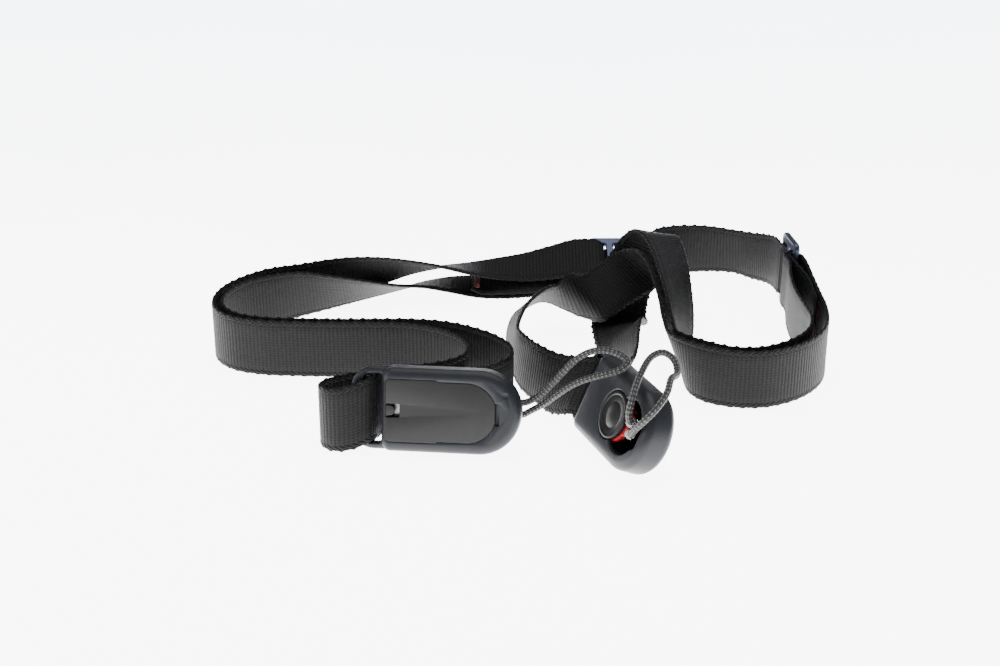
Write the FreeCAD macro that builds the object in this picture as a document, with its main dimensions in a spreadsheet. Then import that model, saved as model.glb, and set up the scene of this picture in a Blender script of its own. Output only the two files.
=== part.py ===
# Quick-release webbing strap, laid down in loose loops on a flat surface.
# Millimetres, +Z up, origin at the middle of the footprint on the surface that the strap lies on.
import FreeCAD, Part
import math
import os

V = FreeCAD.Vector
doc = FreeCAD.newDocument("strap")

# ---------------------------------------------------------------- driving dimensions
SIZES = {
    "webbing_width": 19.0,
    "webbing_thick": 1.3,
    "link_length": 50.0,
    "link_width": 24.6,
    "link_thick": 9.5,
    "ring_thick": 3.8,
    "slot_start": -20.8,
    "slot_end": -15.5,
    "slot_width": 20.6,
    "well_place": 4.5,
    "window_place": 12.4,
    "well_radius": 7.2,
    "flange_room": 8.1,
    "lip_under": 3.4,
    "tab_room_end": 21.2,
    "tab_room_width": 8.0,
    "cover_thick": 1.2,
    "cover_gap": 0.1,
    "cover_width": 18.4,
    "cover_end": 9.3,
    "cap_radius": 7.0,
    "cap_thick": 1.5,
    "flange_radius": 7.6,
    "flange_thick": 1.6,
    "tab_reach": 8.4,
    "tab_width": 6.6,
    "tab_thick": 2.6,
    "cord_diameter": 2.0,
    "sleeve_diameter": 2.8,
    "sleeve_length": 3.4,
    "spring_thick": 0.6,
    "spring_width": 9.0,
    "adjuster_length": 17.0,
    "adjuster_width": 27.0,
    "adjuster_thick": 2.2,
    "adjuster_slot": 4.5,
    "adjuster_slot_width": 20.2,
    "adjuster_slot_place": 3.65,
    "press_travel": 1.2,
}
dims = doc.addObject("Spreadsheet::Sheet", "dims")
for row, (word, value) in enumerate(SIZES.items(), start=1):
    dims.set("A%d" % row, word)
    dims.set("B%d" % row, str(value))
    dims.setAlias("B%d" % row, word)
doc.recompute()


def size(word):
    """A driving dimension, read from the sheet."""
    return float(dims.get(word))


nodes = []


def keep(obj, label):
    """Name a finished sub-part; its label is its node name."""
    obj.Label = label
    nodes.append(obj)
    return obj


# ---------------------------------------------------------------- PartDesign helpers
def new_body(label):
    return keep(doc.addObject("PartDesign::Body", label), label)


def solid(body, kind, name, place, **sizes):
    """One additive or subtractive primitive, its sizes bound to the sheet, standing at place."""
    feature = body.newObject("PartDesign::" + kind, name)
    plane = [o for o in body.Origin.OriginFeatures if o.Role == "XY_Plane"][0]
    feature.AttachmentSupport = [(plane, "")]
    feature.MapMode = "FlatFace"
    feature.AttachmentOffset = FreeCAD.Placement(V(0, 0, 0), FreeCAD.Rotation())
    for axis, text in zip("xyz", place):
        feature.setExpression("AttachmentOffset.Base." + axis, text)
    for field, text in sizes.items():
        feature.setExpression(field, text)
    return feature


def level_edges(shape, height):
    """Names of the edges that lie flat at one height."""
    flat = []
    for number, edge in enumerate(shape.Edges, start=1):
        box = edge.BoundBox
        if box.ZLength < 1e-6 and abs(box.ZMin - height) < 1e-6:
            flat.append("Edge%d" % number)
    return flat


def round_over(body, name, heights, radius):
    """Fillet every edge that lies at one of the heights."""
    doc.recompute()
    names = []
    for height in heights:
        names += level_edges(body.Shape, height)
    last = body.Tip
    fillet = body.newObject("PartDesign::Fillet", name)
    fillet.Base = (last, names)
    fillet.Radius = radius
    doc.recompute()
    return fillet


def round_upright(body, name, radius, chosen):
    """Fillet the upright edges whose box is chosen."""
    doc.recompute()
    names = []
    for number, edge in enumerate(body.Shape.Edges, start=1):
        if edge.BoundBox.ZLength > 1 and chosen(edge.BoundBox):
            names.append("Edge%d" % number)
    last = body.Tip
    fillet = body.newObject("PartDesign::Fillet", name)
    fillet.Base = (last, names)
    fillet.Radius = radius
    doc.recompute()


# ---------------------------------------------------------------- connector: housing, cover, spring
def link_housing(label):
    """Oblong moulding: a thin ring at the webbing end, and a deeper body with the anchor's keyhole."""
    body = new_body(label)
    ring_z = "-dims.ring_thick / 2"
    deep_z = "-dims.link_thick / 2"
    end = "dims.link_length / 2 - dims.link_width / 2"
    solid(body, "AdditiveBox", label + "_ring", ("-dims.link_length / 2", "-dims.link_width / 2", ring_z),
          Length="dims.link_length / 2", Width="dims.link_width", Height="dims.ring_thick")
    round_upright(body, label + "_ring_corners", 7.0, lambda box: box.XMax < -24)
    solid(body, "AdditiveCylinder", label + "_nose", (end, "0", deep_z),
          Radius="dims.link_width / 2", Height="dims.link_thick")
    solid(body, "AdditiveBox", label + "_deep", ("dims.slot_end", "-dims.link_width / 2", deep_z),
          Length="%s - dims.slot_end" % end, Width="dims.link_width", Height="dims.link_thick")
    half_thick = size("link_thick") / 2
    round_over(body, label + "_soft_edges", (half_thick, -half_thick), 2.6)
    solid(body, "SubtractiveBox", label + "_slot",
          ("dims.slot_start", "-dims.slot_width / 2", deep_z),
          Length="dims.slot_end - dims.slot_start", Width="dims.slot_width", Height="dims.link_thick")
    # room for the cover, open to the back
    solid(body, "SubtractiveBox", label + "_cover_seat",
          ("dims.slot_end + 1.2", "-dims.cover_width / 2 - dims.cover_gap", deep_z),
          Length="dims.cover_end - dims.slot_end - 1.2", Width="dims.cover_width + 2 * dims.cover_gap",
          Height="dims.cover_thick")
    solid(body, "SubtractiveCylinder", label + "_cover_seat_end", ("dims.cover_end", "0", deep_z),
          Radius="dims.cover_width / 2 + dims.cover_gap", Height="dims.cover_thick")
    # inner room for the spring and the anchor's flange
    floor = "dims.cover_thick - dims.link_thick / 2"
    solid(body, "SubtractiveBox", label + "_room", ("-12.4", "-dims.flange_room", floor),
          Length="dims.window_place + 12.4", Width="2 * dims.flange_room",
          Height="dims.lip_under - (%s)" % floor)
    solid(body, "SubtractiveCylinder", label + "_room_end", ("dims.window_place", "0", floor),
          Radius="dims.flange_room", Height="dims.lip_under - (%s)" % floor)
    # keyhole: the well under the lip, then the wide window
    top = "dims.link_thick / 2 - dims.lip_under"
    solid(body, "SubtractiveCylinder", label + "_well", ("dims.well_place", "0", "dims.lip_under"),
          Radius="dims.well_radius", Height=top)
    solid(body, "SubtractiveBox", label + "_window_sides",
          ("dims.window_place - dims.flange_radius", "-dims.flange_room", "dims.lip_under"),
          Length="dims.flange_radius", Width="2 * dims.flange_room", Height=top)
    solid(body, "SubtractiveCylinder", label + "_window", ("dims.window_place", "0", "dims.lip_under"),
          Radius="dims.flange_room", Height=top)
    solid(body, "SubtractiveBox", label + "_tab_room",
          ("dims.window_place", "-dims.tab_room_width / 2", "-1"),
          Length="dims.tab_room_end - dims.window_place", Width="dims.tab_room_width",
          Height="dims.link_thick / 2 + 1")
    return body


def link_cover(label):
    """Flat back cover with a round end, let into the housing, with a small window for the spring's peg."""
    body = new_body(label)
    low = "-dims.link_thick / 2"
    start = "dims.slot_end + 1.3"
    solid(body, "AdditiveBox", label + "_panel", (start, "-dims.cover_width / 2", low),
          Length="dims.cover_end - (%s)" % start, Width="dims.cover_width", Height="dims.cover_thick - 0.05")
    solid(body, "AdditiveCylinder", label + "_round_end", ("dims.cover_end", "0", low),
          Radius="dims.cover_width / 2", Height="dims.cover_thick - 0.05")
    solid(body, "SubtractiveBox", label + "_peg_window", (start, "-2.1", low),
          Length="4.2", Width="4.2", Height="dims.cover_thick")
    return body


def polygon_solid(label, points, width):
    """A bent strip: a closed outline in the length-height plane, given its width across the middle."""
    loop = Part.makePolygon([V(x, -width / 2, z) for x, z in points + points[:1]])
    piece = doc.addObject("Part::Feature", label)
    piece.Shape = Part.Face(loop).extrude(V(0, width, 0))
    return keep(piece, label)


def bent_strip(points, thick):
    """Both sides of a centre line with mitred corners, as one closed outline."""
    left, right = [], []
    for i, (x, z) in enumerate(points):
        before = points[max(i - 1, 0)]
        after = points[min(i + 1, len(points) - 1)]
        into = math.atan2(z - before[1], x - before[0]) if i > 0 else None
        out = math.atan2(after[1] - z, after[0] - x) if i < len(points) - 1 else None
        into = out if into is None else into
        out = into if out is None else out
        turn = math.remainder(out - into, 2 * math.pi)
        middle = into + turn / 2
        reach = thick / 2 / math.cos(turn / 2)
        left.append((x - reach * math.sin(middle), z + reach * math.cos(middle)))
        right.append((x + reach * math.sin(middle), z - reach * math.cos(middle)))
    return left + right[::-1]


def link_spring(label):
    """Leaf that lies under the anchor and rises again when the anchor is let go."""
    base_under = size("lip_under") - 0.05 - size("flange_thick")
    top = base_under - size("spring_thick") / 2 - 0.02
    line = [(-11.9, -1.9), (-7.5, -1.9), (-3.5, top), (11.0, top)]
    return polygon_solid(label, bent_strip(line, size("spring_thick")), size("spring_width"))


# ---------------------------------------------------------------- anchor: base, cap, sleeves, cord
def anchor_base(label):
    """Red core: a flange under the lip, a neck, and a tab that the cord leaves from."""
    body = new_body(label)
    under = "dims.lip_under - 0.05 - dims.flange_thick"
    solid(body, "AdditiveCylinder", label + "_flange", ("dims.well_place", "0", under),
          Radius="dims.flange_radius", Height="dims.flange_thick")
    solid(body, "AdditiveBox", label + "_tab", ("dims.well_place", "-dims.tab_width / 2", under),
          Length="dims.tab_reach", Width="dims.tab_width", Height="dims.flange_thick")
    return body


def anchor_cap(label):
    """Black disc on the core, with a dished top and a low rim."""
    body = new_body(label)
    low = "dims.lip_under - 0.05"
    solid(body, "AdditiveCylinder", label + "_disc", ("dims.well_place", "0", low),
          Radius="dims.cap_radius", Height="dims.cap_thick")
    solid(body, "SubtractiveCylinder", label + "_dish", ("dims.well_place", "0", low + " + dims.cap_thick - 0.3"),
          Radius="dims.cap_radius - 1.1", Height="0.3")
    return body


# ---------------------------------------------------------------- frames of the connectors and adjusters
class Frame:
    """A place with three directions: along, across and out."""

    def __init__(self, centre, along, across, out):
        self.centre = centre
        self.along = along
        self.across = across
        self.out = out

    def point(self, x, y, z):
        return self.centre + self.along * x + self.across * y + self.out * z

    def placement(self):
        return FreeCAD.Placement(self.centre, FreeCAD.Rotation(self.along, self.across, self.out, "ZXY"))


def leaning_frame(centre, turn, lean):
    """Standing on a long edge: turned about the vertical, then leaning away by an angle."""
    turn = math.radians(turn)
    lean = math.radians(lean)
    along = V(math.cos(turn), math.sin(turn), 0)
    side = V(-math.sin(turn), math.cos(turn), 0)
    across = side * math.sin(lean) + V(0, 0, 1) * math.cos(lean)
    return Frame(centre, along, across, along.cross(across))


A_STAND = leaning_frame(V(-22.5, -70, 12.56), -6, 14)
# connector A shows its back, so its own up and out are reversed
A_FRAME = Frame(A_STAND.centre, A_STAND.along, A_STAND.across * -1, A_STAND.out * -1)
B_FRAME = leaning_frame(V(30.5, -71.5, 12.4), -70, 24)

TILT_1 = math.radians(25)
ADJUSTER_1 = Frame(V(38, 72, 7.5), V(1, 0, 0), V(0, math.cos(TILT_1), math.sin(TILT_1)),
                   V(0, -math.sin(TILT_1), math.cos(TILT_1)))
TURN_2 = math.radians(4)
ADJUSTER_2 = Frame(V(100.3, 44, 13.6), V(-math.sin(TURN_2), math.cos(TURN_2), 0), V(0, 0, -1),
                   V(-math.cos(TURN_2), -math.sin(TURN_2), 0))


# ---------------------------------------------------------------- webbing
def lean_up(angle):
    """Direction of the marked edge of a strand that runs along X, turned by an angle from upright."""
    angle = math.radians(angle)
    return V(0, -math.sin(angle), math.cos(angle))


UP = V(0, 0, 1)
CLEAR_TOP = 3.7
FREE_TOP = 2.05
TAIL_OFFSET = 1.85
CLEAR_LOW = 2.05


def stations(rows):
    """Stations of a strand: a centre point and the direction of the marked edge."""
    return [(V(*row[:3]), row[3]) for row in rows]


def meeting(frame, along, height, edge_sign):
    """The station where a strand meets the webbing held in an adjuster, square to it."""
    return (frame.point(along, 0, height), frame.across * edge_sign, frame.along)


LEFT = stations([
    (15, 67.8, 9.4, lean_up(111)),
    (5, 65.4, 8.5, lean_up(103)),
    (-5, 63.8, 8.5, lean_up(94)),
    (-15, 60.2, 9.8, lean_up(83)),
    (-26, 55.8, 12, lean_up(70)),
    (-38, 51.6, 13.1, lean_up(55)),
    (-50, 47.8, 12.6, lean_up(36)),
    (-62, 45.2, 11, lean_up(20)),
    (-75, 40, 9.5, lean_up(8)),
    (-86, 33.2, 9.52, UP),
    (-94, 24.5, 9.52, UP),
    (-98.8, 14, 9.52, UP),
    (-99.8, 4, 9.52, UP),
    (-97.3, -5.4, 9.52, UP),
    (-91, -12.4, 9.52, UP),
    (-82, -16, 9.52, UP),
    (-70, -17.3, 9.52, UP),
    (-56, -17.7, 9.52, UP),
    (-44, -17.7, 9.52, UP),
    (-33, -18.9, 9.52, UP),
    (-24, -22.6, 9.52, UP),
    (-17, -29.2, 9.52, UP),
    (-13.9, -37, 9.52, UP),
    (-15.2, -44.4, 9.52, UP),
    (-20.5, -49.4, 9.52, UP),
    (-28, -52.4, 9.52, UP),
    (-36, -54.4, 9.52, UP),
    (-43.5, -57, 9.52, UP),
    (-50, -60, 9.52, UP),
    (-54.4, -62.6, 9.52, UP),
    (-56.4, -66.2, 9.5, V(0, 0.02, 1)),
    (-55, -70, 9.8, V(0, 0.05, 1)),
    (-51, -72.8, 10.4, V(0, 0.1, 1)),
    (-46.5, -73, 11.5, V(0, 0.18, 1)),
    (-42.5, -71.2, 12.5, V(0.025, 0.24, 0.97)),
    (-40.6, -68.1, 12.3, V(0.025, 0.24, 0.97)),
    (-39.6, -64.2, 11.6, V(0.025, 0.24, 0.97)),
    (-36.9, -60.2, 10.8, V(0.02, 0.18, 0.98)),
    (-31.5, -58.7, 10, V(0, 0.08, 1)),
    (-23, -58, 9.52, UP),
    (-14, -56.3, 9.52, UP),
    (-6, -52.3, 9.52, UP),
    (-1.2, -46, 9.52, UP),
    (-0.6, -38, 9.52, UP),
    (-4.5, -30, 9.52, UP),
    (-11.5, -23, 9.52, UP),
    (-20.5, -17.6, 9.52, UP),
    (-30.5, -15.2, 9.52, UP),
    (-43, -14.9, 9.52, UP),
    (-56, -15, 9.52, UP),
    (-70, -14.6, 9.52, UP),
    (-81, -13.3, 9.52, UP),
    (-89.6, -9.8, 9.52, UP),
    (-95, -3.4, 9.52, UP),
    (-96.9, 5.4, 9.52, UP),
    (-95.2, 14.2, 9.52, UP),
    (-90.8, 21.8, 9.52, UP),
    (-83, 28.4, 9.55, lean_up(5)),
    (-75, 33.4, 9.6, lean_up(15)),
    (-65, 38.2, 8.7, lean_up(32)),
    (-53, 45.4, 6.9, lean_up(50)),
    (-41, 53.2, 4.9, lean_up(66)),
    (-31, 59.6, 3.7, lean_up(77)),
    (-22, 62.4, 2.6, lean_up(87)),
    (-12, 62.4, 1.9, lean_up(95)),
    (-3, 62, 2.5, lean_up(100)),
    (6, 63, 3.2, lean_up(104)),
    (16, 67.6, 4.3, lean_up(112)),
])

RIGHT_UPPER = stations([
    (96.6, 22, 11.2, UP),
    (96.6, 11, 9.6, UP),
    (97.1, 0, 9.52, UP),
    (97.3, -11, 9.52, UP),
    (95.2, -20.4, 9.52, UP),
    (90.8, -28.2, 9.52, UP),
    (84.6, -34.2, 9.52, UP),
    (77, -38.3, 9.52, UP),
    (69, -38.6, 9.52, UP),
    (62, -35, 9.52, UP),
    (57.6, -30, 9.6, V(-0.12, -0.05, 1)),
    (55.4, -23.6, 10.1, V(-0.34, -0.14, 0.93)),
    (54.9, -14, 13, V(-0.42, -0.3, 0.86)),
    (55.5, -3, 18.6, V(-0.55, -0.55, 0.63)),
    (55, 10.3, 24.6, V(-0.63, -0.66, 0.4)),
    (53.8, 26, 29.2, V(-0.71, -0.62, 0.32)),
    (52, 36, 30.8, V(-0.75, -0.6, 0.27)),
    (49.8, 42.6, 28.2, V(-0.8, -0.45, 0.35)),
    (47.5, 43.5, 23.6, V(-0.88, -0.19, 0.43)),
    (43.8, 40, 17.6, V(-0.9, 0.06, 0.43)),
    (40.6, 35.4, 12.3, V(-0.92, 0.02, 0.4)),
    (38.4, 29, 7.4, V(-0.96, 0.03, 0.24)),
    (37.6, 21.5, 3.1, V(-0.99, 0, 0)),
    (37.4, 14, 4.4, V(-0.95, 0, -0.28)),
    (37, 6.5, 5.6, V(-0.86, -0.02, -0.5)),
])

RIGHT_LOWER = stations([
    (35.4, -19, 8.3, V(0.55, 0, 0.83)),
    (34.3, -36, 9.2, V(0.45, 0.05, 0.9)),
    (32.4, -46.4, 10, V(0.42, 0.12, 0.9)),
    (28.3, -53.4, 11, V(0.38, 0.14, 0.91)),
    (24.3, -54.4, 12.2, V(0.38, 0.14, 0.91)),
    (20.7, -53.8, 12.8, V(0.37, 0.13, 0.92)),
    (17.2, -50.4, 11.4, V(0.3, 0.12, 0.95)),
    (13.6, -46, 9.9, V(0.2, 0.1, 0.97)),
    (7.3, -36.3, 9.6, V(0.11, -0.07, 0.99)),
    (3.2, -28.2, 10, V(0.13, -0.22, 0.97)),
    (0.5, -19, 12.4, V(0.16, -0.63, 0.76)),
    (0.9, -5.2, 14.3, V(0.22, -0.8, 0.56)),
    (5.9, 11.4, 14.7, V(0.16, -0.84, 0.53)),
    (12.6, 19.8, 14.4, V(-0.03, -0.8, 0.59)),
    (18.2, 21.2, 13, V(-0.18, -0.6, 0.78)),
    (23.2, 20.6, 13.3, V(-0.42, -0.05, 0.9)),
    (27.4, 20.8, 12.8, V(-0.45, 0.56, 0.69)),
    (34.4, 27, 14.6, V(-0.58, 0.63, 0.52)),
    (41, 32, 17.2, V(-0.65, 0.5, 0.55)),
    (46.6, 34, 20, V(-0.78, 0.1, 0.55)),
    (50.4, 31.6, 23.6, V(-0.8, -0.3, 0.45)),
    (52, 24, 25, V(-0.73, -0.58, 0.36)),
    (52.8, 11.6, 22.4, V(-0.63, -0.66, 0.4)),
    (53.2, -2, 17, V(-0.55, -0.55, 0.63)),
    (52.4, -13.6, 12, V(-0.42, -0.3, 0.86)),
    (52.7, -24.6, 9.8, V(-0.3, -0.12, 0.95)),
    (55.2, -31.6, 9.55, V(-0.12, -0.05, 1)),
    (60.4, -37.6, 9.52, UP),
    (68, -41.4, 9.52, UP),
    (77.3, -41.8, 9.52, UP),
    (86.4, -37.8, 9.52, UP),
    (94, -31, 9.52, UP),
    (99.4, -22.4, 9.52, UP),
    (102.4, -12, 9.52, UP),
    (103.8, -2, 9.52, UP),
    (104.2, 10, 9.7, UP),
    (104, 22, 11.2, UP),
])

MAIN = stations([
    (53, 74.5, 9.6, lean_up(140)),
    (59.5, 79.5, 9.7, V(0.1, -0.25, -0.96)),
    (67, 82.8, 9.6, V(0, -0.05, -1)),
    (76, 83.3, 9.6, V(0, 0.1, -1)),
    (85, 80.3, 9.7, V(0.1, 0.2, -0.97)),
    (92, 72.8, 10.3, V(0.06, 0.1, -0.99)),
    (96.2, 63.6, 12.2, V(0.02, 0.03, -1)),
])

LEFT = [meeting(ADJUSTER_1, -12, CLEAR_TOP, -1)] + LEFT + [meeting(ADJUSTER_1, -12, -CLEAR_LOW, -1)]
# below the crossing the two strands share one section, where the marked edge passes to the low side
CROSSING = (V(36.8, -1, 7.3), V(0.7, 0.05, 0.71), V(-0.09, -0.99, 0.06))
RIGHT_UPPER = [meeting(ADJUSTER_2, -12, CLEAR_TOP, -1)] + RIGHT_UPPER + [(CROSSING[0], CROSSING[1] * -1, CROSSING[2])]
RIGHT_LOWER = [CROSSING] + RIGHT_LOWER + [meeting(ADJUSTER_2, -12, -CLEAR_LOW, -1)]
MAIN = [meeting(ADJUSTER_1, 10, FREE_TOP, -1)] + MAIN + [meeting(ADJUSTER_2, 10, FREE_TOP, 1)]


def sections(strand, shifts=None):
    """Rectangular sections of a strand, each turned to its station and shifted along its normal."""
    shifts = shifts or [0.0] * len(strand)
    half_width = size("webbing_width") / 2
    half_thick = size("webbing_thick") / 2
    rings = []
    for i, (centre, edge, *held) in enumerate(strand):
        before = strand[max(i - 1, 0)][0]
        after = strand[min(i + 1, len(strand) - 1)][0]
        tangent = (after - before).normalize()
        if held:
            tangent = held[0] * (1 if held[0].dot(tangent) > 0 else -1)
        across = V(edge).normalize()
        normal = tangent.cross(across).normalize()
        middle = centre + normal * shifts[i]
        corners = []
        for side, face in ((1, 1), (1, -1), (-1, -1), (-1, 1)):
            corners.append(middle + across * (side * half_width) + normal * (face * half_thick))
        rings.append(corners)
    return rings


def flat_quad(a, b, c, d):
    """A four-sided face, flat where its corners are in one plane and ruled where they are not."""
    off_plane = abs((b - a).cross(c - a).dot(d - a))
    if off_plane < 1e-6:
        return [Part.Face(Part.makePolygon([a, b, c, d, a]))]
    return [Part.Face(Part.makePolygon([a, b, c, a])), Part.Face(Part.makePolygon([a, c, d, a]))]


def webbing(label, rings):
    """One length of webbing through its sections, as a closed solid."""
    faces = flat_quad(*rings[0]) + flat_quad(*rings[-1])
    for one, two in zip(rings, rings[1:]):
        # both broad faces are split along the same diagonal, which keeps the thickness even in a twist
        faces += flat_quad(one[0], one[1], two[1], two[0])
        faces += flat_quad(one[1], one[2], two[2], two[1])
        faces += flat_quad(one[2], one[3], two[3], two[2])
        faces += flat_quad(one[0], two[0], two[3], one[3])
    shell = Part.makeShell(faces)
    shell.sewShape()
    body = Part.makeSolid(shell)
    body.fix(1e-4, 1e-4, 1e-3)
    piece = doc.addObject("Part::Feature", label)
    piece.Shape = body
    return keep(piece, label)


def strand_pieces(strand, cuts):
    """Cut a strand at named stations; neighbouring lengths share their end section."""
    rings = sections(strand)
    for label, first, last in cuts:
        webbing(label, rings[first:last + 1])


LEFT_CUTS = [
    ("strap_left_twist_upper", 0, 9),
    ("strap_left_bend_outer", 9, 16),
    ("strap_front_left_outer", 16, 20),
    ("strap_u_turn_inner", 20, 26),
    ("strap_back_a_inner", 26, 29),
    ("strap_loop_a", 29, 38),
    ("strap_back_a_outer", 38, 41),
    ("strap_u_turn_outer", 41, 47),
    ("strap_front_left_inner", 47, 51),
    ("strap_left_bend_inner", 51, 58),
    ("strap_left_twist_lower", 58, 69),
]
RIGHT_UPPER_CUTS = [
    ("strap_right_inner", 0, 5),
    ("strap_front_right_inner", 5, 11),
    ("strap_rise_upper", 11, 16),
    ("strap_arch_upper", 16, 21),
    ("strap_under_arch", 21, 26),
]
RIGHT_LOWER_CUTS = [
    ("strap_to_b", 0, 2),
    ("strap_loop_b", 2, 9),
    ("strap_ring_b", 9, 16),
    ("strap_arch_lower", 16, 23),
    ("strap_rise_lower", 23, 28),
    ("strap_front_right_outer", 28, 33),
    ("strap_right_outer", 33, 38),
]
MAIN_CUTS = [
    ("strap_main_start", 0, 3),
    ("strap_main", 3, 8),
]


# ---------------------------------------------------------------- adjusters and the webbing in them
def adjuster(label, frame):
    """Slotted metal plate with three bars."""
    body = new_body(label)
    low = "-dims.adjuster_thick / 2"
    solid(body, "AdditiveBox", label + "_plate", ("-dims.adjuster_length / 2", "-dims.adjuster_width / 2", low),
          Length="dims.adjuster_length", Width="dims.adjuster_width", Height="dims.adjuster_thick")
    round_upright(body, label + "_corners", 2.5, lambda box: True)
    for side, name in ((-1, "_sewn_slot"), (1, "_free_slot")):
        solid(body, "SubtractiveBox", label + name,
              ("%d * dims.adjuster_slot_place - dims.adjuster_slot / 2" % side,
               "-dims.adjuster_slot_width / 2", low),
              Length="dims.adjuster_slot", Width="dims.adjuster_slot_width", Height="dims.adjuster_thick")
    body.Placement = frame.placement()
    return body


def adjuster_webbing(number, frame):
    """The length threaded over, under and over the bars, and the end folded round the sewn bar."""
    wide = size("webbing_width")
    thick = size("webbing_thick")
    threaded = [(-12, CLEAR_TOP), (-5.4, CLEAR_TOP), (-3.0, 1.6), (-2.7, -1.0), (-1.6, -FREE_TOP), (1.6, -FREE_TOP),
                (3.1, -0.6), (5.1, FREE_TOP), (10, FREE_TOP)]
    weave = polygon_solid("strap_weave_%d" % number, bent_strip(threaded, thick), wide)
    weave.Placement = frame.placement()
    folded = [(-12, -CLEAR_LOW), (-5.8, -CLEAR_LOW), (-4.9, -1.1), (-4.9, 1.1), (-5.8, CLEAR_LOW),
              (-12, CLEAR_LOW)]
    fold = polygon_solid("sewn_end_%d" % number, bent_strip(folded, thick), wide)
    fold.Placement = frame.placement()


def sewn_tail(number, strand, start, share):
    """The folded end lying back along its own strand, and the bar of stitches that closes it."""
    shifts = [-TAIL_OFFSET] * (len(strand) - 1) + [-2 * CLEAR_LOW]
    rings = sections(strand, shifts)[start:]
    rings[0] = [a + (b - a) * share for a, b in zip(rings[0], rings[1])]
    webbing("sewn_tail_%d" % number, rings)
    # the outer face of the tail is the side of its rings that faces away from the strand
    near_high, near_low = rings[0][1], rings[0][2]
    next_high, next_low = rings[1][1], rings[1][2]
    along = (next_high + next_low - near_high - near_low).normalize()
    across = (near_high - near_low).normalize()
    out = across.cross(along).normalize()
    along = out.cross(across)
    spot = (near_high + near_low) * 0.5 + along * 2.2 + out * 0.4
    block = doc.addObject("Part::Feature", "bartack_%d" % number)
    block.Shape = Part.makeBox(2.2, 14, 0.4, V(-1.1, -7, 0))
    block.Placement = FreeCAD.Placement(spot, FreeCAD.Rotation(along, across, out, "ZXY"))
    keep(block, "bartack_%d" % number)


# ---------------------------------------------------------------- cords
def cord_tube(label, points, diameter):
    """Straight runs joined by tangent arcs, swept with a round section; the radii are printed."""
    runs = [(b - a).Length for a, b in zip(points, points[1:])]
    edges = []
    start = points[0]
    radii = []
    for i in range(1, len(points) - 1):
        into = (points[i] - points[i - 1]).normalize()
        out = (points[i + 1] - points[i]).normalize()
        turn = into.getAngle(out)
        setback = 0.45 * min(runs[i - 1], runs[i])
        radius = setback / math.tan(turn / 2)
        radii.append(radius)
        first = points[i] - into * setback
        last = points[i] + out * setback
        inward = (out - into).normalize()
        mid = points[i] + inward * (radius / math.cos(turn / 2) - radius)
        edges.append(Part.LineSegment(start, first).toShape())
        edges.append(Part.Arc(first, mid, last).toShape())
        start = last
    edges.append(Part.LineSegment(start, points[-1]).toShape())
    path = Part.Wire(edges)
    first_edge = path.Edges[0]
    tangent = first_edge.tangentAt(first_edge.FirstParameter)
    ring = Part.Wire(Part.makeCircle(diameter / 2, points[0], tangent))
    tube = path.makePipeShell([ring], True, False)
    expected = math.pi * diameter ** 2 / 4 * path.Length
    print("%s: length %.1f, radii %s, volume ratio %.3f" % (
        label, path.Length, " ".join("%.1f" % r for r in radii), abs(tube.Volume) / expected))
    piece = doc.addObject("Part::Feature", label)
    piece.Shape = tube
    return keep(piece, label)


CORD_A = [(-8.8, -68.5, 13.5), (-5.1, -67.5, 13.4), (-1.1, -65.7, 12.9), (3.1, -65.6, 12.4), (6.9, -66.2, 14.6),
          (11, -67.2, 19.2), (14.9, -68, 24.4), (19, -68.2, 28.8), (24.4, -68.4, 30.9), (29.6, -68.8, 29.9),
          (33.2, -70, 27.7), (31.2, -72.2, 26.3), (27.6, -72, 24.9), (22.6, -71.4, 23.4), (17.6, -70.6, 21.2),
          (13.2, -69, 17.4), (9, -67.2, 13.1), (5, -66, 10.2), (2.4, -66.1, 8.7), (-1.4, -66.6, 9),
          (-5.2, -68.4, 9.7), (-8.9, -69.2, 10.3)]
CORD_B = [(33.5, -84.9, 15), (32.5, -87.2, 15.9), (31.4, -88.4, 19.4), (32.5, -87.4, 23.8), (34, -83.9, 27.4),
          (36.6, -78.4, 30.1), (38.8, -74.2, 31.2), (42.4, -72.4, 31.9), (45.8, -73.6, 29.6), (46.2, -77.4, 26.4),
          (43.1, -85.6, 29.6), (41.9, -91, 27.4), (38.9, -94.4, 24.4), (35.5, -95.4, 21.1), (33, -93.1, 17.2),
          (32.3, -89.2, 13.3), (32.25, -85.2, 12.1)]

for side, frame, route in (("a", A_FRAME, CORD_A), ("b", B_FRAME, CORD_B)):
    for maker, word in ((link_housing, "link_housing_"), (link_cover, "link_cover_"), (link_spring, "link_spring_"),
                        (anchor_base, "anchor_base_"), (anchor_cap, "anchor_cap_")):
        made = maker(word + side)
        made.Placement = frame.placement()
    cord_tube("anchor_cord_" + side, [V(*p) for p in route], size("cord_diameter"))

strand_pieces(LEFT, LEFT_CUTS)
strand_pieces(RIGHT_UPPER, RIGHT_UPPER_CUTS)
strand_pieces(RIGHT_LOWER, RIGHT_LOWER_CUTS)
strand_pieces(MAIN, MAIN_CUTS)
adjuster("adjuster_1", ADJUSTER_1)
adjuster("adjuster_2", ADJUSTER_2)
adjuster_webbing(1, ADJUSTER_1)
adjuster_webbing(2, ADJUSTER_2)
sewn_tail(1, LEFT, 64, 0.7)
sewn_tail(2, RIGHT_LOWER, 35, 0.6)

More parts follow.
